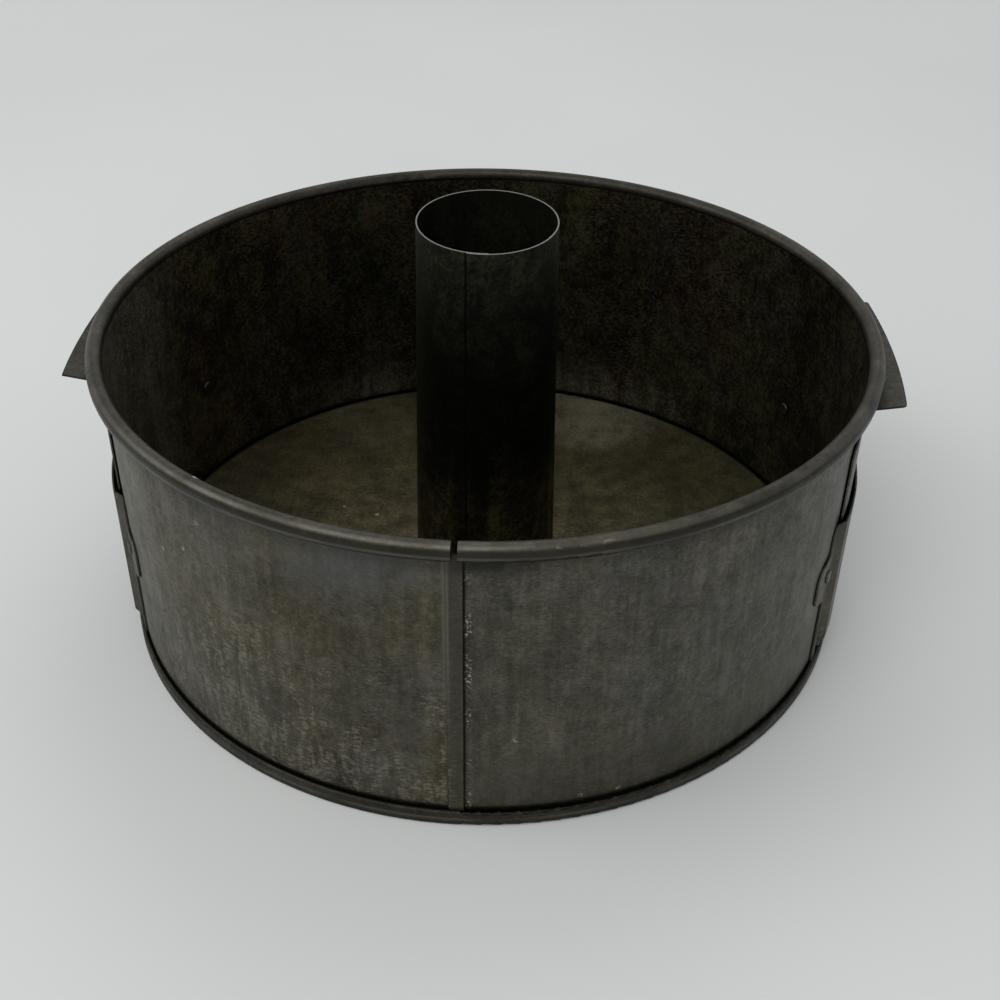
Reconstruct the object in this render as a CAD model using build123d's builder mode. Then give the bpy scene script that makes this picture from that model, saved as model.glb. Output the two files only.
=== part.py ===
from build123d import *
from math import asin, cos, degrees, radians, sin, sqrt, tan
import os

# Tinned sheet-steel angel food cake pan: a straight wall with a wired rim, a bottom joined by a double seam,
# a tapered centre tube, and two side gates that slide up to uncover knife slots just above the floor.
# Lengths are in millimetres and angles in degrees. The origin is the centre of the base, where it stands on
# the table. +Z is up, the gates are on the X axis, and the wall's lock seam faces -Y.

# Wall and rolled rim
rim_radius = 120.0
rim_height = 99.0
bead_radius = 2.3
bead_drop = 0.8
bead_curl_angle = 135.0
wall_sheet = 0.4
seat_gap = 0.1
cut_overrun = 20.0

# Bottom and its double seam
base_sheet = 0.5
floor_height = 5.0
floor_corner = 1.0
base_corner = 0.65

# Lock seam of the wall, and the gap that it leaves in the rolled rim
seam_width = 4.35
seam_offset = 0.9
seam_rounding = 0.6
rim_gap = 1.7
rim_gap_offset = 0.6

# Knife slots
slot_cover = 5.0
slot_height = 4.4
slot_sill = 0.6
slot_corner = 1.5

# Centre tube
tube_height = 129.0
tube_base_radius = 23.5
tube_top_radius = 21.2
tube_sheet = 0.4
tube_top_slope = 2.5
lap_width = 6.3
lap_angle = -102.75
lap_rise_share = 0.9
lap_ease_angle = 80.0
lap_merge_angle = 6.0
lap_start = 1.0
neck_end_height = 1.8
foot_flange = 2.5
foot_corner = 0.6

# Sliding gates
gate_sheet = 0.5
gate_wall_gap = 0.5
slide_gap = 0.3
gate_half_width = 43.5
gate_corner = 4.0
gate_shoulder_drop = 19.0
gate_shoulder_corner = 5.0
gate_blank_angle = 90.0

# Thumb lip of a gate
lip_half_width = 33.0
lip_neck_drop = 14.0
lip_neck_corner = 3.0
lip_length = 8.6
lip_edge_bow = 2.2
lip_edge_drop = 9.0
lip_slope = 10.0
lip_bend_radius = 1.5
lip_corner = 1.2

# Keepers: a shallow box over the gate, with a narrow flange and a riveted ear on each side
keeper_sheet = 0.5
flange_gap = 0.25
keeper_top_drop = 42.0
keeper_corner = 4.5
box_gap = 1.1
joggle_run = 2.7
flange_width = 2.5
mouth_height = 6.2
mouth_corner = 2.0
ear_reach = 7.6
ear_height = 18.0
ear_top_drop = 51.4

# Rivets
rivet_rise = 10.0
rivet_set_back = 3.0
rivet_shank_radius = 1.1
rivet_fit = 0.05
inner_head_radius = 2.4
inner_head_height = 0.9
outer_head_radius = 2.1
outer_head_height = 0.6
head_rounding_share = 0.85

# Right ear of a keeper, from its lower root round its tip to its upper root. The corners are shares of the
# ear's reach and of its height, and each has its own rounding.
ear_corner_shares = ((0.0, 0.0), (1.0, 0.22), (1.0, 0.87), (0.0, 1.0))
ear_lower_root = 2.0
ear_lower_tip = 2.6
ear_upper_tip = 5.5
ear_upper_root = 1.5

# Radii of the wall and of the rolled rim
wall_inner = rim_radius - 2 * bead_radius
wall_outer = wall_inner + wall_sheet
wall_mid = (wall_inner + wall_outer) / 2
bead_centre_radius = rim_radius - bead_radius
bead_centre_height = rim_height - bead_radius
bead_foot_height = bead_centre_height - bead_drop
bead_underside = bead_foot_height - bead_radius

# Middle radii of the sheet layers in the double seam, from inside to outside
skirt_mid = wall_inner - seat_gap - base_sheet / 2
cover_hook_mid = wall_outer + seat_gap + base_sheet / 2
body_hook_mid = cover_hook_mid + base_sheet / 2 + seat_gap + wall_sheet / 2
band_mid = body_hook_mid + wall_sheet / 2 + seat_gap + base_sheet / 2

# Heights of the turns in the double seam
body_turn = (body_hook_mid - wall_mid) / 2
body_turn_height = base_sheet + seat_gap + wall_sheet / 2 + body_turn
cover_turn = (band_mid - cover_hook_mid) / 2
cover_turn_height = floor_height - base_sheet / 2 - cover_turn
body_hook_top = cover_turn_height - 2 * seat_gap
cover_hook_end = body_turn_height + 2 * seat_gap
slot_middle_height = floor_height + slot_sill + slot_height / 2

# Radii of the gates and keepers
gate_inner = wall_outer + gate_wall_gap
gate_outer = gate_inner + gate_sheet
gate_mid = (gate_inner + gate_outer) / 2
lip_reach = gate_outer + lip_length
box_mid = gate_outer + box_gap + keeper_sheet / 2
wing_mid = wall_outer + flange_gap + keeper_sheet / 2
wing_outer = wing_mid + keeper_sheet / 2

# Heights on the gates and keepers, most of them measured down from the rim
gate_bottom = floor_height + slide_gap
gate_shoulder_height = rim_height - gate_shoulder_drop
lip_neck_height = rim_height - lip_neck_drop
lip_edge_height = rim_height - lip_edge_drop
lip_bend_height = lip_edge_height - (lip_reach - gate_mid) * tan(radians(lip_slope))
lip_bend_start = lip_bend_height - lip_bend_radius * tan(radians((90 - lip_slope) / 2))
keeper_bottom = floor_height + seat_gap
keeper_top = rim_height - keeper_top_drop
mouth_top = keeper_bottom + mouth_height
ear_bottom = rim_height - ear_top_drop - ear_height
rivet_height = ear_bottom + rivet_rise

# Angles from the middle of a keeper to the side of its box, to the start of its flange, and to its rivet
box_side_angle = degrees(asin((gate_half_width + slide_gap + keeper_sheet / 2) / box_mid))
flange_start_angle = box_side_angle + degrees(joggle_run / wing_mid)
rivet_angle = flange_start_angle + degrees(rivet_set_back / wing_mid)

# Half widths of the keepers and of the slots, seen from the front
mouth_half_width = wing_outer * sin(radians(flange_start_angle))
keeper_half_width = mouth_half_width + flange_width
slot_half_width = gate_half_width - slot_cover

# Direction of each side assembly, seen from above
side_directions = {"right": 0.0, "left": 180.0}


def radial_plane(angle):
    """Upright plane through the Z axis: its x runs outward at this angle and its y runs up."""
    return Plane(
        origin=(0, 0, 0),
        x_dir=(cos(radians(angle)), sin(radians(angle)), 0),
        z_dir=(sin(radians(angle)), -cos(radians(angle)), 0),
    )


def plan_plane(angle, height=0):
    """Level plane whose x runs outward at this angle."""
    return Plane(
        origin=(0, 0, height),
        x_dir=(cos(radians(angle)), sin(radians(angle)), 0),
        z_dir=(0, 0, 1),
    )


def facing_plane(angle, radius=0, height=0):
    """Upright plane that faces outward at this angle: its x runs round the pan and its y runs up."""
    outward = Vector(cos(radians(angle)), sin(radians(angle)), 0)
    return Plane(
        origin=(radius * outward.X, radius * outward.Y, height),
        x_dir=(-outward.Y, outward.X, 0),
        z_dir=(outward.X, outward.Y, 0),
    )


def facing_axis(angle):
    """Line through the origin that points outward at this angle."""
    return Axis((0, 0, 0), facing_plane(angle).z_dir)


def polar_point(radius, angle):
    """Point on a level plane at this radius and angle."""
    return (radius * cos(radians(angle)), radius * sin(radians(angle)))


def tube_radius(height):
    """Outer radius of the tapered tube at a height."""
    return tube_base_radius + (tube_top_radius - tube_base_radius) * height / tube_height


rivet_directions = {
    "right_front_rivet": -rivet_angle,
    "right_rear_rivet": rivet_angle,
    "left_front_rivet": 180 + rivet_angle,
    "left_rear_rivet": 180 - rivet_angle,
}

pieces = {}


# Raised lock seam on the outside of the wall, with a soft left edge and a crisp right one
with BuildPart() as lock_seam:
    with BuildSketch(Plane.XY.offset(floor_height + seat_gap)):
        Circle(wall_outer + 2 * wall_sheet)
        Circle(wall_mid, mode=Mode.SUBTRACT)
        with Locations((-seam_offset, -wall_outer)):
            Rectangle(seam_width, seam_width, mode=Mode.INTERSECT)
    extrude(amount=bead_underside - floor_height - 2 * seat_gap)
    upright_edges = lock_seam.edges().filter_by(Axis.Z)
    outer_left_edge = upright_edges.group_by(Axis.X)[0].sort_by(Axis.Y)[0]
    fillet(outer_left_edge, radius=seam_rounding)

# Wall: one sheet turned from the hook at its foot, up the side and round the rim wire
with BuildPart() as side_wall:
    with BuildSketch(Plane.XZ):
        with BuildLine():
            Line((body_hook_mid, body_hook_top), (body_hook_mid, body_turn_height))
            ThreePointArc(
                (body_hook_mid, body_turn_height),
                ((body_hook_mid + wall_mid) / 2, body_turn_height - body_turn),
                (wall_mid, body_turn_height),
            )
            Line((wall_mid, body_turn_height), (wall_mid, bead_centre_height))
            bead_top = CenterArc(
                (bead_centre_radius, bead_centre_height),
                bead_radius - wall_sheet / 2,
                start_angle=180,
                arc_size=-180,
            )
            Line(bead_top @ 1, (rim_radius - wall_sheet / 2, bead_foot_height))
            CenterArc(
                (bead_centre_radius, bead_foot_height),
                bead_radius - wall_sheet / 2,
                start_angle=0,
                arc_size=-bead_curl_angle,
            )
        trace(line_width=wall_sheet)
    revolve(axis=Axis.Z)
    add(lock_seam.part)
    # Gap where the two ends of the rolled rim meet
    with BuildSketch(Plane.XY.offset(bead_underside)):
        with Locations((-rim_gap_offset, -rim_radius)):
            Rectangle(rim_gap, cut_overrun)
    extrude(amount=cut_overrun, mode=Mode.SUBTRACT)
    # Knife slots, one under each gate
    with BuildSketch(Plane.YZ):
        with Locations((0, slot_middle_height)):
            RectangleRounded(2 * slot_half_width, slot_height, slot_corner)
    extrude(amount=rim_radius + cut_overrun, both=True, mode=Mode.SUBTRACT)
    for direction in rivet_directions.values():
        with BuildSketch(facing_plane(direction, wall_mid, rivet_height)):
            Circle(rivet_shank_radius + rivet_fit)
        extrude(amount=bead_radius, both=True, mode=Mode.SUBTRACT)
pieces["side_wall"] = side_wall

# Wire inside the rolled rim, open at the rim's gap
gap_half_angle = degrees(rim_gap / 2 / bead_centre_radius)
gap_angle = -90 - degrees(rim_gap_offset / bead_centre_radius)
with BuildPart() as rim_wire:
    with BuildSketch(radial_plane(gap_angle + gap_half_angle)):
        with Locations((bead_centre_radius, bead_centre_height)):
            Circle(bead_radius - wall_sheet - seat_gap)
    revolve(axis=Axis.Z, revolution_arc=360 - 2 * gap_half_angle)
pieces["rim_wire"] = rim_wire

# Bottom: one sheet turned from its neck round the tube, over the floor and round the wall's hook
neck_mid = tube_base_radius + seat_gap + base_sheet / 2
floor_mid_height = floor_height - base_sheet / 2
with BuildPart() as bottom_panel:
    with BuildSketch(Plane.XZ):
        with BuildLine():
            FilletPolyline(
                (neck_mid, neck_end_height),
                (neck_mid, floor_mid_height),
                (skirt_mid, floor_mid_height),
                (skirt_mid, base_sheet / 2),
                (band_mid, base_sheet / 2),
                (band_mid, cover_turn_height),
                radius=(floor_corner, floor_corner, base_corner, base_corner),
            )
            ThreePointArc(
                (band_mid, cover_turn_height),
                ((band_mid + cover_hook_mid) / 2, cover_turn_height + cover_turn),
                (cover_hook_mid, cover_turn_height),
            )
            Line((cover_hook_mid, cover_turn_height), (cover_hook_mid, cover_hook_end))
        trace(line_width=base_sheet)
    revolve(axis=Axis.Z)
pieces["bottom_panel"] = bottom_panel

# Heights and radii of the tube's sheet
foot_height = neck_end_height - seat_gap - tube_sheet / 2
tube_blank_top = tube_height + 2 * tube_top_radius * sin(radians(tube_top_slope))
lap_bottom = floor_height + lap_start

# Outer end of the tube's sheet at the lap seam: it stands out over the inner end, eases back to the tube's own
# radius and stops above the floor
lap_rise = lap_rise_share * tube_sheet
lap_inset = lap_rise - tube_sheet / 2
lap_axis = Axis((*polar_point(lap_rise, lap_angle), 0), (0, 0, 1))
with BuildPart() as tube_lap:
    with BuildSketch(radial_plane(lap_angle)):
        with BuildLine():
            Line(
                (tube_radius(lap_bottom) + lap_inset, lap_bottom),
                (tube_radius(tube_blank_top) + lap_inset, tube_blank_top),
            )
        trace(line_width=tube_sheet)
    revolve(axis=lap_axis, revolution_arc=lap_ease_angle)

# Stretch of the round tube that the eased outer end takes the place of
lap_turn = degrees(lap_width / tube_top_radius)
with BuildPart() as lap_relief:
    with BuildSketch(radial_plane(lap_angle + lap_turn)):
        with BuildLine():
            Line(
                (tube_radius(lap_bottom) - tube_sheet / 2, lap_bottom),
                (tube_radius(tube_blank_top) - tube_sheet / 2, tube_blank_top),
            )
        trace(line_width=2 * tube_sheet)
    revolve(axis=Axis.Z, revolution_arc=lap_ease_angle - lap_turn - lap_merge_angle)

# Centre tube: tapered, and flanged outward under the neck of the bottom
with BuildPart() as centre_tube:
    with BuildSketch(Plane.XZ):
        with BuildLine():
            FilletPolyline(
                (tube_base_radius + foot_flange, foot_height),
                (tube_radius(foot_height) - tube_sheet / 2, foot_height),
                (tube_radius(tube_blank_top) - tube_sheet / 2, tube_blank_top),
                radius=foot_corner,
            )
        trace(line_width=tube_sheet)
    revolve(axis=Axis.Z)
    add(lap_relief.part, mode=Mode.SUBTRACT)
    add(tube_lap.part)
    top_slant = radians(tube_top_slope)
    split(
        bisect_by=Plane(origin=(0, 0, tube_height), z_dir=(0, -sin(top_slant), cos(top_slant))),
        keep=Keep.BOTTOM,
    )
pieces["centre_tube"] = centre_tube


def build_lip(angle):
    """Thumb lip: the gate's sheet bent outward above its neck, with a shallow bow along its outer edge."""
    lip_end = sqrt(lip_reach**2 + lip_half_width**2)
    lip_side = lip_reach - lip_edge_bow
    with BuildPart() as lip:
        with BuildSketch(radial_plane(angle - gate_blank_angle / 2)):
            with BuildLine():
                bend = CenterArc(
                    (gate_mid + lip_bend_radius, lip_bend_start),
                    lip_bend_radius,
                    start_angle=180,
                    arc_size=lip_slope - 90,
                )
                Line(bend @ 1, (lip_end, lip_bend_height + (lip_end - gate_mid) * tan(radians(lip_slope))))
            trace(line_width=gate_sheet)
        revolve(axis=Axis.Z, revolution_arc=gate_blank_angle)
        with BuildSketch(plan_plane(angle)) as lip_plan:
            with BuildLine():
                ThreePointArc((lip_side, -lip_half_width), (lip_reach, 0), (lip_side, lip_half_width))
                Polyline(
                    (lip_side, lip_half_width),
                    (0, lip_half_width),
                    (0, -lip_half_width),
                    (lip_side, -lip_half_width),
                )
            make_face()
            fillet(lip_plan.vertices().group_by(facing_axis(angle))[-1], radius=lip_corner)
        extrude(amount=rim_height, mode=Mode.INTERSECT)
    return lip


def build_gate(angle, lip):
    """Sliding gate on the side at this angle: a curved plate with shoulders and its thumb lip."""
    right_corners = [
        (gate_half_width, gate_bottom),
        (gate_half_width, gate_shoulder_height),
        (lip_half_width, lip_neck_height),
        (lip_half_width, rim_height),
    ]
    right_radii = [gate_corner, gate_shoulder_corner, lip_neck_corner, 0]
    left_corners = [(-across, up) for across, up in reversed(right_corners)]
    with BuildPart() as gate:
        with BuildSketch(plan_plane(angle, gate_bottom)):
            Circle(gate_outer)
            Circle(gate_inner, mode=Mode.SUBTRACT)
        extrude(amount=lip_bend_start - gate_bottom)
        # Front outline: full width up to the shoulders, then in to the neck under the lip
        with BuildSketch(facing_plane(angle)):
            with BuildLine():
                FilletPolyline(
                    *right_corners,
                    *left_corners,
                    radius=[*right_radii, *reversed(right_radii)],
                    close=True,
                )
            make_face()
        extrude(amount=rim_radius + cut_overrun, mode=Mode.INTERSECT)
        add(lip.part)
    return gate


def build_keeper(angle):
    """Keeper over a gate: a box open at its head and foot, with side flanges and ears riveted to the wall."""
    right_corners = [
        (mouth_half_width, keeper_bottom),
        (keeper_half_width, keeper_bottom),
        *[(keeper_half_width + out * ear_reach, ear_bottom + up * ear_height) for out, up in ear_corner_shares],
        (keeper_half_width, keeper_top),
    ]
    right_radii = [0, 0, ear_lower_root, ear_lower_tip, ear_upper_tip, ear_upper_root, keeper_corner]
    left_corners = [(-across, up) for across, up in reversed(right_corners)]
    left_radii = list(reversed(right_radii))
    blank_half_angle = degrees(asin((keeper_half_width + ear_reach + keeper_sheet) / wing_mid))
    with BuildPart() as keeper:
        with BuildSketch(plan_plane(angle, keeper_bottom)):
            with BuildLine():
                CenterArc((0, 0), wing_mid, -blank_half_angle, blank_half_angle - flange_start_angle)
                Line(polar_point(wing_mid, -flange_start_angle), polar_point(box_mid, -box_side_angle))
                CenterArc((0, 0), box_mid, -box_side_angle, 2 * box_side_angle)
                Line(polar_point(box_mid, box_side_angle), polar_point(wing_mid, flange_start_angle))
                CenterArc((0, 0), wing_mid, flange_start_angle, blank_half_angle - flange_start_angle)
            trace(line_width=keeper_sheet)
        extrude(amount=keeper_top - keeper_bottom)
        # Front outline, with the mouth over the knife slot
        with BuildSketch(facing_plane(angle)):
            with BuildLine():
                FilletPolyline(
                    *right_corners,
                    *left_corners,
                    (-mouth_half_width, mouth_top),
                    (mouth_half_width, mouth_top),
                    radius=[*right_radii, *left_radii, mouth_corner, mouth_corner],
                    close=True,
                )
            make_face()
        extrude(amount=rim_radius + cut_overrun, mode=Mode.INTERSECT)
        for rivet_direction in (angle - rivet_angle, angle + rivet_angle):
            with BuildSketch(facing_plane(rivet_direction, wing_mid, rivet_height)):
                Circle(rivet_shank_radius + rivet_fit)
            extrude(amount=bead_radius, both=True, mode=Mode.SUBTRACT)
    return keeper


def build_rivet(angle):
    """Rivet through the wall and a keeper's ear, with a round head inside and a flatter one outside."""
    inner_seat = wall_inner - seat_gap
    outer_seat = wing_outer + seat_gap
    with BuildPart() as rivet:
        with BuildSketch(facing_plane(angle, inner_seat, rivet_height)):
            Circle(rivet_shank_radius)
        extrude(amount=outer_seat - inner_seat)
        with BuildSketch(facing_plane(angle, inner_seat, rivet_height)):
            Circle(inner_head_radius)
        extrude(amount=-inner_head_height)
        fillet(rivet.edges().sort_by(facing_axis(angle))[0], radius=head_rounding_share * inner_head_height)
        with BuildSketch(facing_plane(angle, outer_seat, rivet_height)):
            Circle(outer_head_radius)
        extrude(amount=outer_head_height)
        fillet(rivet.edges().sort_by(facing_axis(angle))[-1], radius=head_rounding_share * outer_head_height)
    return rivet


for side, direction in side_directions.items():
    pieces[f"{side}_gate"] = build_gate(direction, build_lip(direction))
    pieces[f"{side}_keeper"] = build_keeper(direction)
for name, direction in rivet_directions.items():
    pieces[name] = build_rivet(direction)

# One file for each piece
os.makedirs("parts", exist_ok=True)
for name, piece in pieces.items():
    piece.part.label = name
    export_step(piece.part, f"parts/{name}.step")
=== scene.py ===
import math

import bpy
from mathutils import Matrix, Vector

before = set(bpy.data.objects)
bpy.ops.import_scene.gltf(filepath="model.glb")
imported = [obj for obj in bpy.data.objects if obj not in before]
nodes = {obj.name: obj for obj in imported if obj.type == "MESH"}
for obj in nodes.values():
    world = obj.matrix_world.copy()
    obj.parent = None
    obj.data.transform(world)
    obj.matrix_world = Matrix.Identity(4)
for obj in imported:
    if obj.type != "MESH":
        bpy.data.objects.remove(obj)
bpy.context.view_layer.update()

# Camera that fits the photo's outlines: place in metres, angles in radians, lens and sensor in millimetres
CAMERA_PLACE = Vector((0.020825, -0.36674, 0.28795))
CAMERA_YAW = -0.043304
CAMERA_PITCH = 0.615452
CAMERA_ROLL = 0.015172
CAMERA_LENS = 47.88
SENSOR_WIDTH = 36.0
CLIP_START = 0.01
CLIP_END = 50.0

# Places on the pan, in metres, in the part's own frame
WALL_MIDDLE = 0.1156  # radius halfway through the wall's sheet
FACE_BLUR = 0.0001  # each side of a change between two faces
SEAM_CENTRE = -0.0007  # the lock seam's centre line, on x
SEAM_RIGHT = 0.00145  # its crisp edge
SEAM_LEFT = -0.0032  # its soft edge
TUBE_SLOPE = 0.0437  # rise of the tube's cut top towards the back
LIP_BOW = 2.02  # bow of a thumb lip's outer edge, per metre
FLECK_CLUSTERS = (((-0.0613, -0.0982, 0.0426), 0.021), ((-0.0608, -0.0985, 0.0123), 0.018))
WALL_CHIPS = (
    ((0.0149, -0.1148, 0.0318), 0.0012),
    ((-0.0848, -0.0788, 0.0633), 0.0009),
    ((-0.0764, -0.0870, 0.0697), 0.0009),
    ((0.0333, -0.1109, 0.0075), 0.0009),
    ((0.0439, -0.1072, 0.0073), 0.0010),
    ((-0.0704, -0.0919, 0.0822), 0.0012),
)
RIM_CHIP_PLACE = (-0.0675, -0.0943, 0.0985)
PALE_SPOT_PLACE = (-0.1154, 0.0026, 0.0810)
FLOOR_SPECKS = (((-0.0405, 0.0210, 0.0050), 0.0009), ((-0.0530, 0.0250, 0.0050), 0.0007))

# Colours of the tinplate outside, among them a painted reflection, a painted highlight, painted shade in
# creases and crevices, and painted shadow under the rim
COOL_TIN = (0.073, 0.070, 0.059)
BROWN_TIN = (0.071, 0.0625, 0.0395)
SMOOTH_TIN = (0.100, 0.103, 0.106)
WORN_FLECK = (0.250, 0.230, 0.175)
VIOLET_BLOOM = (0.108, 0.104, 0.106)
REFLECTION_TIN = (0.118, 0.115, 0.106)
CALM_TIN = (0.052, 0.050, 0.040)
SEAM_TIN = (0.042, 0.039, 0.029)
RUBBED_HIGHLIGHT_TIN = (0.135, 0.130, 0.112)
DIRT_CRUMB = (0.36, 0.34, 0.28)
WALL_CHIP = (0.36, 0.35, 0.30)
CREASE_SHADE = (0.010, 0.009, 0.006)
PAINTED_SHADE_TIN = (0.014, 0.013, 0.010)
CREVICE_SHADE = (0.005, 0.0045, 0.003)

# Colours of the wall's inside and of the rim, among them painted light, painted shade and shadow, painted
# highlights and painted reflections
OLIVE_PATINA = (0.0258, 0.0245, 0.0112)
RUSSET_PATINA = (0.0285, 0.0215, 0.0125)
GREY_PATINA = (0.0260, 0.0242, 0.0172)
PAINTED_LIGHT = (2.6, 2.5, 2.3)
SCOURED_TIN = (0.150, 0.138, 0.100)
FOOT_STREAK = (0.125, 0.117, 0.087)
CORNER_SHADE = (0.003, 0.0025, 0.0015)
BEAD_SHADOW = (0.004, 0.0035, 0.0025)
PALE_SPOT = (0.26, 0.25, 0.21)
RIM_TIN = (0.054, 0.050, 0.039)
RIM_CREST_WEAR_AND_HIGHLIGHT = (0.112, 0.106, 0.086)
RIM_DARK_REFLECTION = (0.016, 0.0145, 0.0105)
RIM_EDGE_WEAR_AND_REFLECTION = (0.090, 0.085, 0.070)
RIM_UNDERSIDE_SHADOW = (0.010, 0.009, 0.007)
RIM_CHIP = (0.66, 0.66, 0.63)

# Colours of the gates, keepers, rivets and wire, among them painted shade
SIDE_SHADE = (0.020, 0.018, 0.012)
SIDE_FLECK = (0.235, 0.226, 0.190)
SIDE_FOOT_SHADE = (0.022, 0.020, 0.014)
SIDE_CREVICE_SHADE = (0.006, 0.005, 0.003)
LIP_SHADE = (0.026, 0.024, 0.018)
LIP_EDGE_SHADE = (0.012, 0.011, 0.008)
RIVET_HEAD = (0.027, 0.0245, 0.0165)
DARK_WIRE = (0.020, 0.016, 0.011)
PALE_WIRE = (0.075, 0.066, 0.052)

# Colours of the bottom, among them painted reflection, painted shade and a painted highlight
OLIVE_FLOOR = (0.060, 0.0530, 0.0250)
BROWN_FLOOR = (0.060, 0.0490, 0.0235)
RUBBED_FLOOR_AND_REFLECTION = (0.150, 0.137, 0.090)
SCRUBBED_FLOOR_AND_REFLECTION = (0.190, 0.175, 0.122)
FLOOR_EDGE_SHADE = (0.005, 0.004, 0.002)
NECK_SHADE = (0.008, 0.007, 0.004)
FLOOR_SPECK = (0.34, 0.33, 0.27)
BAND_TIN = (0.024, 0.0222, 0.0160)
BAND_FOOT_SHADE = (0.008, 0.007, 0.005)
BAND_HIGHLIGHT = (0.085, 0.079, 0.062)
BAND_TOP_SHADE = (0.006, 0.005, 0.003)

# Colours of the tube, among them painted reflection, painted light, painted shadow, painted shade and a
# painted highlight
BLACK_PATINA = (0.0045, 0.0046, 0.0020)
BROWN_PATINA_AND_REFLECTION = (0.0480, 0.0410, 0.0190)
SLATE_PATINA_AND_LIGHT = (0.0190, 0.0193, 0.0118)
WEST_TINT = (0.022, 0.019, 0.011)
LAP_SHADOW = (0.0042, 0.0044, 0.0018)
LAP_SLOT_SHADE = (0.0015, 0.0015, 0.001)
BORE_PATINA = (0.0085, 0.0080, 0.0045)
TOP_EDGE_WEAR_AND_HIGHLIGHT = (0.27, 0.262, 0.232)

# Floor and light: sizes in metres, powers in watts, every light aimed at the middle of the pan's foot
FLOOR_REACH = 6.0
DARK_PAPER = (0.602, 0.617, 0.603)
LIGHT_PAPER = (0.636, 0.651, 0.637)
LIGHTS = (
    ("front_light", (-0.42, -1.12, 1.82), 1.4, 15),
    ("side_light", (-1.5, -0.15, 1.20), 1.1, 7.5),
    ("back_light", (0.2, 1.0, 1.6), 1.2, 4.5),
)
WORLD_COLOUR = (0.97, 0.99, 1.0, 1)
WORLD_STRENGTH = 0.58


def stage_camera():
    forward = Vector((
        math.sin(CAMERA_YAW) * math.cos(CAMERA_PITCH),
        math.cos(CAMERA_YAW) * math.cos(CAMERA_PITCH),
        -math.sin(CAMERA_PITCH),
    ))
    level_right = forward.cross(Vector((0, 0, 1))).normalized()
    level_up = level_right.cross(forward)
    right = level_right * math.cos(CAMERA_ROLL) + level_up * math.sin(CAMERA_ROLL)
    up = -level_right * math.sin(CAMERA_ROLL) + level_up * math.cos(CAMERA_ROLL)
    data = bpy.data.cameras.new("camera")
    data.lens = CAMERA_LENS
    data.sensor_width = SENSOR_WIDTH
    data.clip_start = CLIP_START
    data.clip_end = CLIP_END
    camera = bpy.data.objects.new("camera", data)
    camera.matrix_world = Matrix((
        (right.x, up.x, -forward.x, CAMERA_PLACE.x),
        (right.y, up.y, -forward.y, CAMERA_PLACE.y),
        (right.z, up.z, -forward.z, CAMERA_PLACE.z),
        (0, 0, 0, 1),
    ))
    bpy.context.scene.collection.objects.link(camera)
    bpy.context.scene.camera = camera


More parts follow.
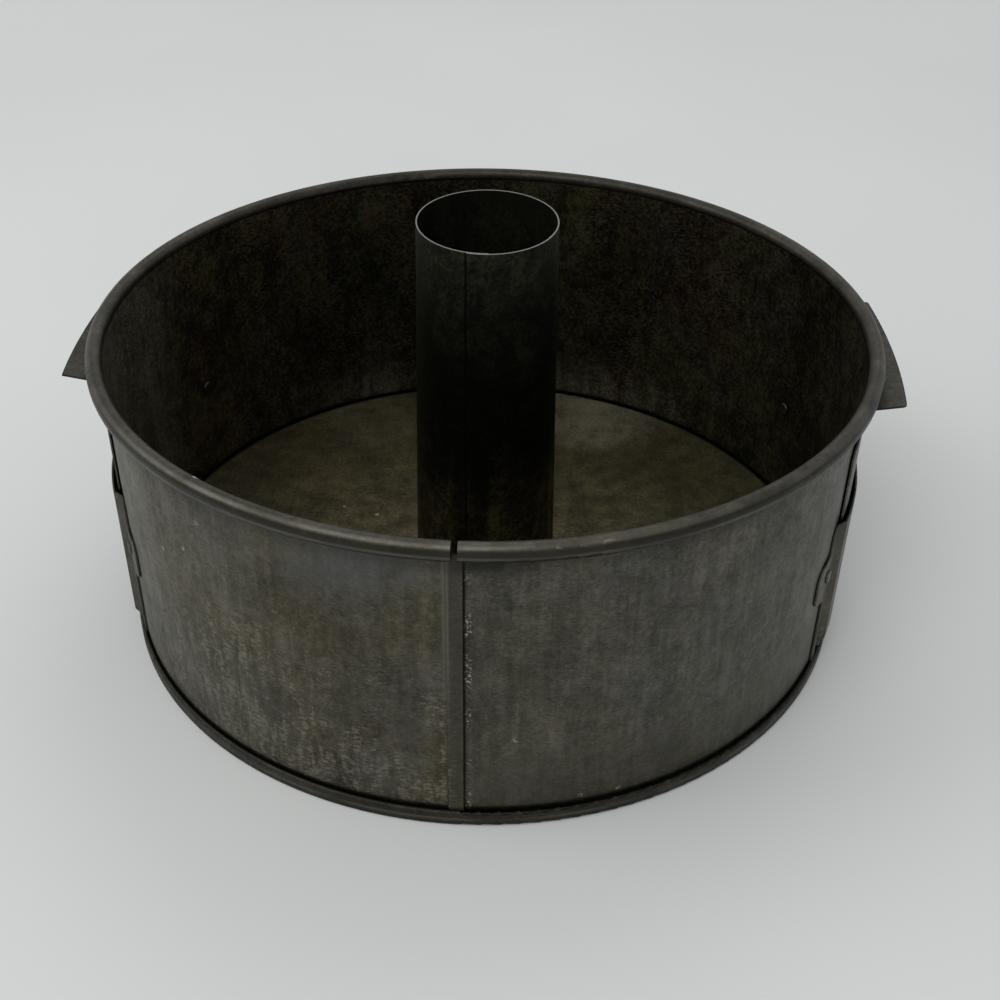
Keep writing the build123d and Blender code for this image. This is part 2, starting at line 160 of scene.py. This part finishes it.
class Nodes:
    """Short calls for building a material's node tree. Places are in metres, in the part's own frame."""

    LINE_CORE = 0.4  # share of a line's half width, and of a spot's size, where it is still full
    SPOT_CORE = 0.5
    CREVICE_SAMPLES = 6

    def __init__(self, name):
        self.material = bpy.data.materials.new(name)
        self.material.use_nodes = True
        self.tree = self.material.node_tree
        self.shader = self.tree.nodes["Principled BSDF"]
        self.place = self.add("ShaderNodeTexCoord").outputs["Object"]
        split = self.add("ShaderNodeSeparateXYZ")
        self.link(self.place, split.inputs[0])
        self.x, self.y, self.z = split.outputs
        self.radius = self.math("SQRT", self.sum(self.times(self.x, self.x), self.times(self.y, self.y)))

    def add(self, kind):
        return self.tree.nodes.new(kind)

    def link(self, source, target):
        self.tree.links.new(source, target)

    def feed(self, target, value):
        if isinstance(value, bpy.types.NodeSocket):
            self.link(value, target)
        else:
            target.default_value = value

    def math(self, operation, *values):
        node = self.add("ShaderNodeMath")
        node.operation = operation
        for target, value in zip(node.inputs, values):
            self.feed(target, value)
        return node.outputs[0]

    def times(self, first, *others):
        for other in others:
            first = self.math("MULTIPLY", first, other)
        return first

    def sum(self, first, *others):
        for other in others:
            first = self.math("ADD", first, other)
        return first

    def stretch(self, x, y, z):
        """The place, scaled along each axis. A factor under 1 draws a noise out along that axis."""
        node = self.add("ShaderNodeVectorMath")
        node.operation = "MULTIPLY"
        self.link(self.place, node.inputs[0])
        node.inputs[1].default_value = (x, y, z)
        return node.outputs[0]

    def noise(self, scale, detail=3.0, rough=0.5, vector=None):
        node = self.add("ShaderNodeTexNoise")
        self.link(vector or self.place, node.inputs["Vector"])
        node.inputs["Scale"].default_value = scale
        node.inputs["Detail"].default_value = detail
        node.inputs["Roughness"].default_value = rough
        return node.outputs["Fac"]

    def blend(self, *layers):
        """Sum of noises about 0.5, each with its own weight."""
        total = 0.5 - sum(weight for _, weight in layers) / 2
        for noise, weight in layers:
            total = self.sum(self.times(noise, weight), total)
        return total

    def step(self, value, low, high, out_low=0.0, out_high=1.0):
        """Smooth step of a value, from out_low at low to out_high at high."""
        node = self.add("ShaderNodeMapRange")
        node.interpolation_type = "SMOOTHSTEP"
        self.feed(node.inputs["Value"], value)
        limits = (("From Min", low), ("From Max", high), ("To Min", out_low), ("To Max", out_high))
        for name, number in limits:
            node.inputs[name].default_value = number
        return node.outputs["Result"]

    def line(self, value, middle, half_width):
        """1 on a line where the value is at its middle, fading to 0 at its half width."""
        away = self.math("ABSOLUTE", self.math("SUBTRACT", value, middle))
        return self.step(away, half_width, half_width * self.LINE_CORE)

    def spot(self, place, size):
        """1 within a small spot round a place."""
        node = self.add("ShaderNodeVectorMath")
        node.operation = "DISTANCE"
        self.link(self.place, node.inputs[0])
        node.inputs[1].default_value = place
        return self.step(node.outputs["Value"], size, size * self.SPOT_CORE)

    def spots(self, places):
        """1 within each of several spots, given as pairs of place and size."""
        return self.sum(*(self.spot(place, size) for place, size in places))

    def ramp(self, value, *stops):
        node = self.add("ShaderNodeValToRGB")
        self.feed(node.inputs[0], value)
        elements = node.color_ramp.elements
        while len(elements) < len(stops):
            elements.new(0.5)
        for element, (at, colour) in zip(elements, stops):
            element.position = at
            element.color = (*colour, 1.0)
        return node.outputs["Color"]

    def mix(self, factor, a, b, blend="MIX"):
        node = self.add("ShaderNodeMix")
        node.data_type = "RGBA"
        node.blend_type = blend
        self.feed(node.inputs["Factor"], factor)
        for target, value in ((node.inputs[6], a), (node.inputs[7], b)):
            if isinstance(value, tuple):
                value = (*value, 1.0)
            self.feed(target, value)
        return node.outputs[2]

    def paint(self, colour, layer, amount, *masks):
        """A colour under a layer that is as strong as the amount times the masks."""
        return self.mix(self.times(*masks, amount), colour, layer)

    def shades(self, tone, colour, dark=0.4, light=1.9, spread=0.22):
        """Shades of a colour, from dark to light as the tone goes up through 0.5."""
        stops = ((0.5 - spread, dark), (0.5, 1.0), (0.5 + spread, light))
        return self.ramp(tone, *((at, tuple(part * shade for part in colour)) for at, shade in stops))

    def sheen(self, tone, dull, smooth):
        """Roughness, from dull to smooth as the tone goes up."""
        return self.step(tone, 0.3, 0.7, dull, smooth)

    def crevice(self, reach, low, high):
        """1 deep in a crevice, fading to 0 on open faces."""
        node = self.add("ShaderNodeAmbientOcclusion")
        node.samples = self.CREVICE_SAMPLES
        node.inputs["Distance"].default_value = reach
        return self.step(node.outputs["AO"], high, low)

    def bump(self, height, strength, distance, normal=None):
        node = self.add("ShaderNodeBump")
        node.inputs["Strength"].default_value = strength
        node.inputs["Distance"].default_value = distance
        self.link(height, node.inputs["Height"])
        if normal is not None:
            self.link(normal, node.inputs["Normal"])
        return node.outputs["Normal"]

    def finish(self, colour, rough, metallic, normal=None):
        self.feed(self.shader.inputs["Base Color"], colour)
        self.feed(self.shader.inputs["Roughness"], rough)
        self.feed(self.shader.inputs["Metallic"], metallic)
        if normal is not None:
            self.link(normal, self.shader.inputs["Normal"])
        return self.material


# What several materials share

def outer_tin(n, warm):
    """Colour, tone and height of dull aged tinplate outside the pan, browner as warm goes up."""
    broad = n.noise(15, 3, 0.5)
    cloud = n.noise(70, 5, 0.6)
    blot = n.noise(300, 4, 0.6)
    fine = n.noise(900, 3, 0.6)
    grain = n.noise(2200, 2, 0.6)
    streak = n.noise(420, 3, 0.6, n.stretch(1, 1, 0.10))
    ripple = n.noise(700, 2, 0.6, n.stretch(1, 1, 3.2))
    tone = n.blend((broad, 0.30), (cloud, 0.42), (blot, 0.30), (fine, 0.28), (grain, 0.30), (streak, 0.34),
                   (ripple, 0.34))
    cool = n.shades(tone, COOL_TIN, 0.42, 1.95)
    brown = n.shades(tone, BROWN_TIN, 0.42, 1.95)
    height = n.blend((blot, 0.45), (fine, 0.40), (streak, 0.25))
    return n.mix(warm, cool, brown), tone, height


def brown_patches(n):
    """How warm the tinplate is, in broad soft patches."""
    return n.step(n.noise(26, 3, 0.5), 0.38, 0.62, 0.05, 0.55)


def inner_face(n):
    """1 on the faces inside the wall, 0 on the faces outside it."""
    return n.step(n.radius, WALL_MIDDLE + FACE_BLUR, WALL_MIDDLE - FACE_BLUR)


def sheet_relief(n, height, wave_scale):
    """Fine relief on gentle waves in the sheet."""
    waves = n.bump(n.noise(wave_scale, 2, 0.5), 0.30, 0.004)
    return n.bump(height, 0.40, 0.0005, waves)


# The wall

def wall_flecks(n, left, front):
    """1 on pale worn flecks in rows, gathered in upright clusters, most of them low on the left."""
    row = n.noise(560, 4, 0.68, n.stretch(1, 1, 2.8))
    strip = n.step(n.noise(430, 3, 0.6, n.stretch(1, 1, 0.26)), 0.42, 0.60)
    patch = n.step(n.noise(55, 3, 0.6, n.stretch(1, 1, 0.7)), 0.40, 0.58)
    low = n.step(n.z, 0.090, 0.004)
    side = n.sum(n.times(left, front, 0.85), 0.15)
    near_foot = n.times(n.step(n.z, 0.036, 0.010), left, front)
    below_rim = n.step(n.z, 0.0930, 0.0915)
    in_cluster = n.times(n.spots(FLECK_CLUSTERS), n.sum(n.times(strip, 1.1), 0.15))
    gathered = n.sum(n.times(strip, patch), n.times(strip, near_foot, 0.6), n.times(patch, 0.35), in_cluster)
    cover = n.math("MINIMUM", n.times(low, side, gathered), 1.0)
    flecks = n.step(n.sum(row, n.times(cover, 0.13)), 0.57, 0.73)
    return n.times(flecks, below_rim, n.sum(n.times(cover, 0.60), 0.40))


def wear_wall(n, colour, tone, left, front, flecks):
    """Broad wear of the wall's outside, and a painted reflection at its far right."""
    # A smoother, cooler zone under the rim on the left of the seam
    zone_height = n.step(n.z, 0.070, 0.085)
    zone_side = n.step(n.x, -0.075, -0.045)
    zone_patches = n.step(n.noise(40, 3), 0.35, 0.6)
    colour = n.paint(colour, SMOOTH_TIN, 0.55, left, front, zone_height, zone_side, zone_patches)
    colour = n.paint(colour, WORN_FLECK, 0.66, flecks)

    # Soft violet-grey blotches where the tin is least worn
    blotches = n.step(n.noise(75, 3, 0.6), 0.53, 0.66)
    speckle = n.step(n.noise(500, 2, 0.6), 0.36, 0.60)
    colour = n.paint(colour, VIOLET_BLOOM, 0.34, blotches, speckle, front)

    # Painted reflection, brighter at the far right
    far_right = n.step(n.x, 0.088, 0.108)
    colour = n.paint(colour, n.shades(tone, REFLECTION_TIN, 0.6, 1.5), 0.45, far_right, front)

    # A calmer, darker stretch low on the right of the seam
    low = n.step(n.z, 0.034, 0.014)
    right_of_seam = n.step(n.x, 0.0030, 0.0060)
    return n.paint(colour, CALM_TIN, 0.40, low, front, right_of_seam)


def mark_seam(n, colour, front):
    """Lock seam: painted shade along its crisp right edge, crumbs of pale dirt beside it, and a soft left
    edge, paler from rubbing and a painted highlight.
    """
    colour = n.paint(colour, SEAM_TIN, 0.62, n.line(n.x, SEAM_CENTRE, 0.0024), front)
    # Paler along the soft left edge, from rubbing and a painted highlight
    upper = n.step(n.z, 0.035, 0.070)
    colour = n.paint(colour, RUBBED_HIGHLIGHT_TIN, 0.60, n.line(n.x, SEAM_LEFT, 0.0012), front, upper)
    # Painted shade in the gap along the crisp right edge
    colour = n.paint(colour, CREASE_SHADE, 0.90, n.line(n.x, SEAM_RIGHT, 0.00048), front)
    drifts = n.step(n.noise(90, 2, 0.5, n.stretch(0.1, 0.1, 1)), 0.48, 0.58)
    gathered = n.sum(drifts, n.step(n.z, 0.016, 0.006), n.line(n.z, 0.0560, 0.0070),
                     n.line(n.z, 0.0710, 0.0050))
    grains = n.step(n.noise(1200, 2, 0.5), 0.54, 0.61)
    return n.paint(colour, DIRT_CRUMB, 0.85, n.line(n.x, 0.0024, 0.0012), front, grains, gathered)


def mark_wall(n, colour, front):
    """A few ragged chips, painted shade in the crease above the bottom seam, and painted shadow under the
    rolled rim.
    """
    ragged = n.step(n.noise(900, 3, 0.6), 0.40, 0.52)
    colour = n.paint(colour, WALL_CHIP, 0.65, n.spots(WALL_CHIPS), ragged)
    # Painted shade in the crease above the bottom seam
    colour = n.paint(colour, CREASE_SHADE, 0.85, n.step(n.z, 0.0068, 0.0056))
    # Painted shadow under the rolled rim, uneven and strongest beside the seam
    under_rim = n.step(n.z, 0.0862, 0.0905)
    uneven_shadow = n.step(n.noise(60, 3, 0.6), 0.20, 0.46)
    by_seam = n.sum(n.times(n.line(n.x, 0.0110, 0.0160), front, 0.55), 0.32)
    return n.mix(n.times(under_rim, uneven_shadow, by_seam), colour, PAINTED_SHADE_TIN)


def dark_patina(n):
    """Colour, tone and height of the dark baked patina inside the pan, in olive, brown and grey patches."""
    streak = n.noise(230, 4, 0.62, n.stretch(1, 1, 0.14))
    ladder = n.noise(620, 2, 0.6, n.stretch(1, 1, 3.4))
    patch = n.step(n.noise(48, 3, 0.55, n.stretch(1, 1, 0.5)), 0.47, 0.60)
    cloud = n.noise(40, 5, 0.6, n.stretch(1, 1, 0.7))
    blot = n.noise(170, 4, 0.62)
    fine = n.noise(800, 3, 0.62)
    rungs = n.sum(n.times(n.math("SUBTRACT", ladder, 0.5), patch), 0.5)
    tone = n.blend((cloud, 0.62), (streak, 0.30), (blot, 0.62), (fine, 1.10), (rungs, 1.3))
    olive, russet, grey = (
        n.shades(tone, patina, 0.22, 2.7) for patina in (OLIVE_PATINA, RUSSET_PATINA, GREY_PATINA)
    )
    colour = n.mix(n.step(n.noise(26, 3, 0.6), 0.46, 0.57), olive, russet)
    colour = n.paint(colour, grey, 0.8, n.step(n.noise(44, 3, 0.6, n.stretch(1.3, 1, 0.8)), 0.54, 0.64))
    return colour, tone, n.blend((blot, 0.5), (fine, 0.4), (rungs, 0.6))


def wall_inside(n):
    """Colour and height of the wall's inside, with painted light on its left, and paler where scoured at the
    far left and near the floor.
    """
    colour, tone, height = dark_patina(n)
    # Painted light on the left of the inside
    paler = n.mix(1.0, colour, PAINTED_LIGHT, "MULTIPLY")
    colour = n.paint(colour, paler, 0.55, n.step(n.x, -0.070, -0.113))
    colour = n.paint(colour, n.shades(tone, SCOURED_TIN, 0.45, 1.8), 0.75, n.step(n.x, -0.1085, -0.1150))

    # Pale streaks that rise from the floor at the back
    low = n.step(n.z, 0.026, 0.007)
    at_back = n.step(n.y, 0.078, 0.102)
    tongues = n.step(n.noise(60, 4, 0.6, n.stretch(1, 1, 0.4)), 0.34, 0.56)
    threads = n.step(n.noise(260, 4, 0.62, n.stretch(1, 1, 0.12)), 0.40, 0.56, 0.30, 1.0)
    streaks = n.shades(tone, FOOT_STREAK, 0.45, 1.6)
    colour = n.paint(colour, streaks, 0.75, low, at_back, tongues, threads)

    # Painted shade in the corner at the floor and in the groove under the bead, and one pale spot
    colour = n.paint(colour, CORNER_SHADE, 0.9, n.step(n.z, 0.0060, 0.0054))
    colour = n.paint(colour, BEAD_SHADOW, 0.85, n.line(n.z, 0.0959, 0.0006))
    colour = n.paint(colour, PALE_SPOT, 0.8, n.spot(PALE_SPOT_PLACE, 0.0011))
    return colour, height


def rolled_rim(n):
    """Colour of the rim: dull, with a painted dark reflection on its outer face, pale lines of wear and
    painted highlight on its crest and of wear and painted reflection on its lower edge, painted shadow under
    it and painted shade on its far side.
    """
    tone = n.blend((n.noise(120, 4, 0.6), 0.45), (n.noise(620, 3, 0.6), 0.40), (n.noise(34, 3, 0.5), 0.5))
    crest_wear_and_highlight = n.step(n.noise(70, 3, 0.55), 0.36, 0.58, 0.25, 1.0)
    edge_wear_and_reflection = n.step(n.noise(50, 3, 0.5), 0.36, 0.56, 0.45, 1.0)
    outer_face = n.times(n.step(n.z, 0.0983, 0.0975), n.step(n.radius, 0.1186, 0.1192))
    towards_front = n.step(n.y, 0.020, -0.080, 0.35, 1.0)
    far_side = n.math("MAXIMUM", n.step(n.y, 0.050, 0.110), n.times(n.step(n.x, 0.070, 0.112), 0.7))
    colour = n.shades(tone, RIM_TIN, 0.45, 1.85)
    # Painted highlight, broken by wear, along the crest
    colour = n.paint(colour, RIM_CREST_WEAR_AND_HIGHLIGHT, 0.55, n.line(n.radius, 0.1190, 0.0008), crest_wear_and_highlight)
    # Painted dark reflection on the outer face, strongest towards the front
    colour = n.paint(colour, RIM_DARK_REFLECTION, 0.72, outer_face, towards_front)
    # Painted reflection, broken by wear, along the lower edge
    colour = n.paint(colour, RIM_EDGE_WEAR_AND_REFLECTION, 0.80, n.line(n.z, 0.0956, 0.0007), edge_wear_and_reflection)
    # Painted shadow on the underside
    colour = n.paint(colour, RIM_UNDERSIDE_SHADOW, 0.80, n.step(n.z, 0.0952, 0.0948))
    # Painted shade on the far side
    colour = n.paint(colour, PAINTED_SHADE_TIN, 0.42, far_side)
    return n.paint(colour, RIM_CHIP, 0.9, n.spot(RIM_CHIP_PLACE, 0.0013))


def wall_material():
    n = Nodes("wall_tin")
    left = n.step(n.x, 0.0024, -0.0030)
    front = n.step(n.y, 0.010, -0.010)
    colour, tone, height = outer_tin(n, n.sum(n.times(left, 0.45), brown_patches(n)))
    flecks = wall_flecks(n, left, front)
    colour = wear_wall(n, colour, tone, left, front, flecks)
    colour = mark_seam(n, colour, front)
    colour = mark_wall(n, colour, front)
    inside = inner_face(n)
    in_colour, in_height = wall_inside(n)
    colour = n.mix(inside, colour, in_colour)

    # Painted shade in every crevice, less of it at the seam's soft edge
    soft_edge = n.times(n.line(n.x, -0.0033, 0.0016), front)
    amount = n.math("SUBTRACT", 0.92, n.times(soft_edge, 0.75))
    colour = n.mix(n.times(n.crevice(0.0020, 0.62, 0.93), amount), colour, CREVICE_SHADE)

    # The rolled rim is all of the bead outside, and its crest inside
    outer_bead = n.times(n.step(n.z, 0.0933, 0.0937), n.step(n.radius, 0.1158, 0.1160))
    bead = n.math("MAXIMUM", outer_bead, n.step(n.z, 0.0961, 0.0965))
    colour = n.mix(bead, colour, rolled_rim(n))

    rough = n.sum(n.sheen(tone, 0.54, 0.42), n.times(flecks, 0.10), n.times(bead, -0.02))
    outside = n.math("SUBTRACT", 1.0, inside)
    relief = n.sum(n.times(height, outside), n.times(in_height, inside), n.times(flecks, 0.25))
    return n.finish(colour, rough, 0.84, sheet_relief(n, relief, 24))


# The other pieces

def side_material(name, shade):
    """Tinplate of the pieces on the two sides."""
    n = Nodes(name)
    colour, tone, height = outer_tin(n, brown_patches(n))
    colour = n.mix(shade, colour, SIDE_SHADE)
    row = n.noise(520, 3, 0.62, n.stretch(1, 1, 2.6))
    patch = n.step(n.noise(48, 3, 0.6), 0.42, 0.62)
    flecks = n.step(n.sum(row, n.times(patch, 0.10)), 0.62, 0.74)
    below_lip = n.step(n.z, 0.0860, 0.0840, 0.10, 0.50)
    colour = n.mix(n.times(flecks, below_lip), colour, SIDE_FLECK)
    # Painted shade low down
    colour = n.paint(colour, SIDE_FOOT_SHADE, 0.45, n.step(n.z, 0.020, 0.006))
    # Painted shade in crevices
    colour = n.paint(colour, SIDE_CREVICE_SHADE, 0.9, n.crevice(0.0020, 0.60, 0.90))

    # Thumb lips, darker than the rest, with painted shade along their edges
    lip = n.step(n.z, 0.0840, 0.0860)
    side_edge = n.step(n.math("ABSOLUTE", n.y), 0.03255, 0.03285)
    reach = n.sum(n.math("ABSOLUTE", n.x), n.times(n.y, n.y, LIP_BOW))
    bowed_edge = n.step(reach, 0.12500, 0.12525)
    colour = n.paint(colour, LIP_SHADE, 0.50, lip)
    colour = n.paint(colour, LIP_EDGE_SHADE, 0.85, n.math("MAXIMUM", side_edge, bowed_edge), lip)
    return n.finish(colour, n.sheen(tone, 0.54, 0.42), 0.84, sheet_relief(n, height, 30))


def rivet_material():
    n = Nodes("rivet_tin")
    colour, tone, height = outer_tin(n, 0.4)
    in_colour = n.shades(tone, RIVET_HEAD, 0.35, 2.2)
    # Painted shade in the crevices round the inner heads
    in_colour = n.paint(in_colour, CORNER_SHADE, 0.9, n.crevice(0.0012, 0.55, 0.90))
    colour = n.mix(inner_face(n), colour, in_colour)
    return n.finish(colour, n.sheen(tone, 0.46, 0.34), 0.8, n.bump(height, 0.40, 0.0005))


def wire_material():
    n = Nodes("wire_steel")
    tone = n.noise(500, 3, 0.6)
    colour = n.ramp(tone, (0.30, DARK_WIRE), (0.70, PALE_WIRE))
    return n.finish(colour, n.sheen(tone, 0.65, 0.5), 0.7, n.bump(tone, 0.3, 0.0004))


def seam_band(n, cloud, blot, fine):
    """Colour of the band that the bottom's seam makes round the outside of the foot, with painted shade at
    its foot and along its top, and a painted highlight line.
    """
    tone = n.blend((cloud, 0.4), (blot, 0.5), (fine, 0.5))
    highlight_breaks = n.step(n.noise(45, 3, 0.5), 0.36, 0.56, 0.25, 1.0)
    colour = n.shades(tone, BAND_TIN, 0.42, 2.3)
    # Painted shade at the foot
    colour = n.paint(colour, BAND_FOOT_SHADE, 0.7, n.step(n.z, 0.0014, 0.0004))
    # Painted highlight line, broken up
    colour = n.paint(colour, BAND_HIGHLIGHT, 0.7, n.line(n.z, 0.0025, 0.0007), highlight_breaks)
    # Painted shade along the top
    return n.paint(colour, BAND_TOP_SHADE, 0.9, n.step(n.radius, 0.1169, 0.1164))


def base_material():
    n = Nodes("base_tin")
    cloud = n.noise(40, 5, 0.62)
    blot = n.noise(150, 4, 0.62)
    fine = n.noise(800, 3, 0.62)
    hair = n.noise(700, 2, 0.6, n.stretch(1, 0.16, 1))
    tone = n.blend((cloud, 0.50), (blot, 0.66), (fine, 0.62), (hair, 0.20))
    olive = n.shades(tone, OLIVE_FLOOR, 0.38, 2.0)
    brown = n.shades(tone, BROWN_FLOOR, 0.38, 2.0)
    colour = n.mix(n.step(n.noise(30, 3, 0.6), 0.44, 0.60), olive, brown)

    # Paler near the front left and at both sides behind the tube, from rubbing and a painted reflection
    rub_and_reflection = n.sum(n.spot((-0.040, -0.050, 0.005), 0.060), n.spot((0.036, 0.099, 0.005), 0.034),
                   n.times(n.spot((-0.050, 0.085, 0.005), 0.025), 0.5))
    uneven = n.step(n.noise(110, 4, 0.6), 0.30, 0.62)
    colour = n.paint(colour, n.shades(tone, RUBBED_FLOOR_AND_REFLECTION, 0.55, 1.5), 0.62, rub_and_reflection, uneven)

    # Paler still behind the tube on the right, from scrubbing and a painted reflection
    scrub_and_reflection = n.spot((0.037, 0.098, 0.005), 0.034)
    by_tone = n.step(tone, 0.36, 0.52, 0.45, 1.0)
    colour = n.paint(colour, n.shades(tone, SCRUBBED_FLOOR_AND_REFLECTION, 0.60, 1.5), 0.72, scrub_and_reflection, by_tone)

    # Painted shade along the wall and round the neck, with two pale specks
    colour = n.paint(colour, FLOOR_EDGE_SHADE, 0.92, n.step(n.radius, 0.1133, 0.1142))
    colour = n.paint(colour, NECK_SHADE, 0.8, n.step(n.radius, 0.0262, 0.0240))
    colour = n.paint(colour, FLOOR_SPECK, 0.8, n.spots(FLOOR_SPECKS))

    outside = n.step(n.radius, 0.1156, 0.1158)
    colour = n.mix(outside, colour, seam_band(n, cloud, blot, fine))
    dents = n.bump(n.noise(55, 3, 0.5), 0.35, 0.003)
    normal = n.bump(n.blend((blot, 0.5), (fine, 0.45)), 0.45, 0.0006, dents)
    return n.finish(colour, n.sheen(tone, 0.62, 0.50), 0.70, normal)


def tube_material():
    n = Nodes("tube_tin")
    streak = n.noise(230, 4, 0.62, n.stretch(1, 1, 0.12))
    cloud = n.noise(75, 4, 0.6, n.stretch(1, 1, 0.6))
    blot = n.noise(240, 4, 0.62)
    fine = n.noise(900, 3, 0.62)
    tone = n.blend((streak, 0.60), (cloud, 0.60), (blot, 0.75), (fine, 1.00))

    # Brown at the foot, patina and painted reflection of the floor; black in the middle; slate at the top,
    # patina and painted light; with uneven borders
    shift = n.times(n.math("SUBTRACT", n.noise(38, 3, 0.6), 0.5), 0.07)
    height = n.sum(n.z, shift)
    colour = n.shades(tone, BLACK_PATINA, 0.22, 3.8)
    colour = n.paint(colour, n.shades(tone, BROWN_PATINA_AND_REFLECTION, 0.22, 3.0), 0.90, n.step(height, 0.064, 0.030))
    colour = n.paint(colour, n.shades(tone, SLATE_PATINA_AND_LIGHT, 0.28, 2.6), 0.92, n.step(height, 0.088, 0.116))
    # Paler on the front left
    west = n.times(n.step(n.x, -0.0150, -0.0215), n.step(n.y, 0.004, -0.004))
    colour = n.paint(colour, WEST_TINT, 0.35, west)

    # Painted shadow beside the lap seam, and painted shade in the slot along it
    front = n.step(n.y, 0.0, -0.005)
    below_slate = n.step(height, 0.100, 0.075)
    lap_shadow_shades = n.shades(tone, LAP_SHADOW, 0.3, 3.4)
    colour = n.paint(colour, lap_shadow_shades, 0.62, n.line(n.x, -0.0040, 0.0085), front, below_slate)
    colour = n.paint(colour, LAP_SLOT_SHADE, 0.9, n.line(n.x, -0.0050, 0.0005), front)

    # Dark bore, and a bright line along the edge of the top, from wear and a painted highlight
    colour = n.paint(colour, BORE_PATINA, 0.6, n.step(n.radius, 0.0210, 0.0208))
    level_height = n.math("SUBTRACT", n.z, n.times(n.y, TUBE_SLOPE))
    colour = n.paint(colour, TOP_EDGE_WEAR_AND_HIGHLIGHT, 0.85, n.step(level_height, 0.12880, 0.12895))
    normal = n.bump(n.blend((blot, 0.5), (fine, 0.4), (streak, 0.4)), 0.40, 0.0005)
    return n.finish(colour, n.sheen(tone, 0.58, 0.44), 0.85, normal)


def assign(material, *names):
    for name in names:
        data = nodes[name].data
        data.materials.clear()
        data.materials.append(material)


def stage_floor():
    reach = FLOOR_REACH
    corners = [(-reach, -reach, 0), (reach, -reach, 0), (reach, reach, 0), (-reach, reach, 0)]
    mesh = bpy.data.meshes.new("floor")
    mesh.from_pydata(corners, [], [(0, 1, 2, 3)])
    floor = bpy.data.objects.new("floor", mesh)
    bpy.context.scene.collection.objects.link(floor)
    n = Nodes("floor_paper")
    colour = n.ramp(n.noise(3, 3, 0.5), (0.3, DARK_PAPER), (0.7, LIGHT_PAPER))
    mesh.materials.append(n.finish(colour, 0.65, 0.0))


def stage_light(name, place, size, power):
    data = bpy.data.lights.new(name, "AREA")
    data.shape = "DISK"
    data.size = size
    data.energy = power
    lamp = bpy.data.objects.new(name, data)
    lamp.location = place
    lamp.rotation_euler = (-Vector(place)).to_track_quat("-Z", "Y").to_euler()
    bpy.context.scene.collection.objects.link(lamp)


def stage_world():
    world = bpy.data.worlds.new("world")
    bpy.context.scene.world = world
    world.use_nodes = True
    background = world.node_tree.nodes["Background"]
    background.inputs["Color"].default_value = WORLD_COLOUR
    background.inputs["Strength"].default_value = WORLD_STRENGTH


stage_camera()
assign(wall_material(), "side_wall")
assign(wire_material(), "rim_wire")
assign(base_material(), "bottom_panel")
assign(tube_material(), "centre_tube")
assign(side_material("gate_tin", 0.10), "right_gate", "left_gate")
assign(side_material("keeper_tin", 0.20), "right_keeper", "left_keeper")
assign(rivet_material(), "right_front_rivet", "right_rear_rivet", "left_front_rivet", "left_rear_rivet")
stage_floor()
for light in LIGHTS:
    stage_light(*light)
stage_world()
bpy.context.scene.view_settings.view_transform = "Standard"
